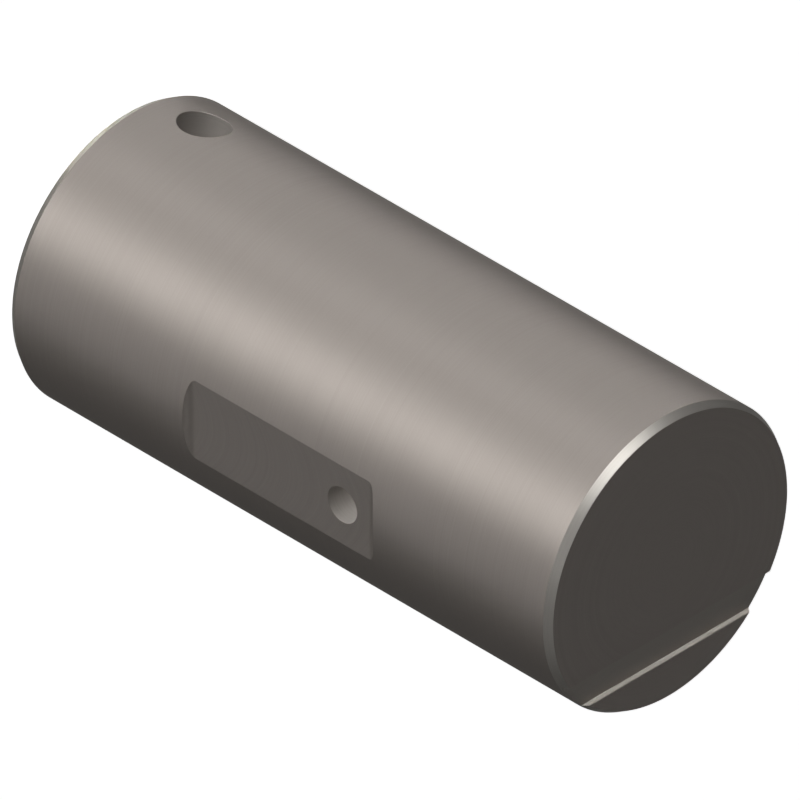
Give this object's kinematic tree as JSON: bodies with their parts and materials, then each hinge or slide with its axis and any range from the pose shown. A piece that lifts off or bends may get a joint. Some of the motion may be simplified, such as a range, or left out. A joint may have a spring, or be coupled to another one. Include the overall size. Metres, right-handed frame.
{
  "type": "roller pin",
  "caption": "Solid steel roller pin with a long ground barrel, chamfered ends, a milled grease flat with a port, a radial lock hole and an index groove across one end.",
  "frame": {"origin": "centre of the foot face, which the pin stands on; this is the end away from the viewer in the picture", "axes": "+Z along the pin's axis from the foot face to the head face with the index groove; -Y square out of the grease flat; +X from the axis to the index groove"},
  "size_m": [0.0762, 0.0762, 0.1707],
  "materials": {
    "steel": "satin ground barrel; turned chamfers and end faces; milled flat and groove; drilled holes"
  },
  "bodies": {
    "root": {"roller_pin": "steel"}
  },
  "joints": []
}
